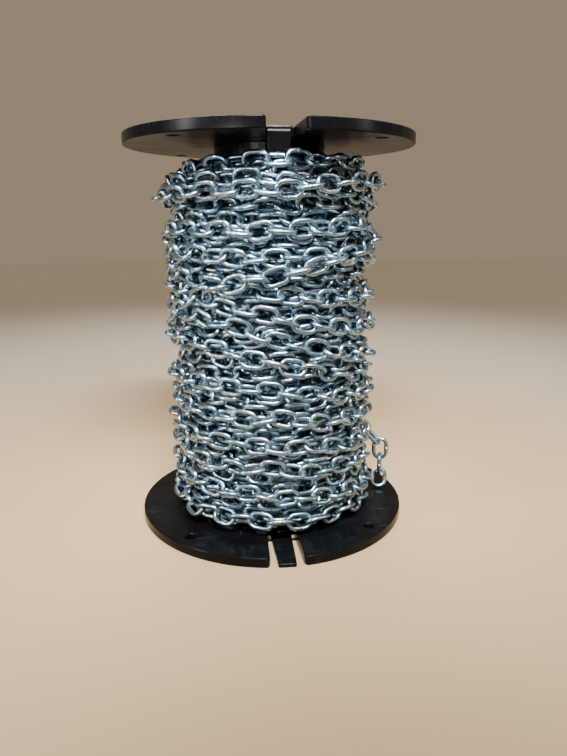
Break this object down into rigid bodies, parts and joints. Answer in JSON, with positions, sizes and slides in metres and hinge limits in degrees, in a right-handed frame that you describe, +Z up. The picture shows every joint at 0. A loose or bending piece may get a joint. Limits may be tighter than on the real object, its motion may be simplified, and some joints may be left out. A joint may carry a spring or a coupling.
{
  "type": "chain reel",
  "caption": "Length of welded straight-link steel chain wound in layers on a flanged plastic reel that stands on end, with the chain's loose end hanging beside the winding.",
  "frame": {"origin": "centre of the lower flange's underside, on the reel's axis", "axes": "+Z up along the reel's axis; the slots in the flanges face -Y; the chain's loose end hangs at +X"},
  "size_m": [0.198, 0.198, 0.272],
  "materials": {
    "black_plastic": "moulded, half gloss, lightly scuffed",
    "zinc_steel": "bright zinc plate with a faint blue tint",
    "shaded_zinc_steel": "zinc plate in the shade between turns"
  },
  "bodies": {
    "root": {"flange_bottom": "black_plastic", "flange_top": "black_plastic", "barrel": "black_plastic", "chain_inner_turns": "shaded_zinc_steel", "chain_outer_turns": "zinc_steel", "chain_end_link_1": "zinc_steel", "chain_end_link_2": "zinc_steel", "chain_end_link_3": "zinc_steel", "chain_end_link_4": "zinc_steel"}
  },
  "joints": []
}
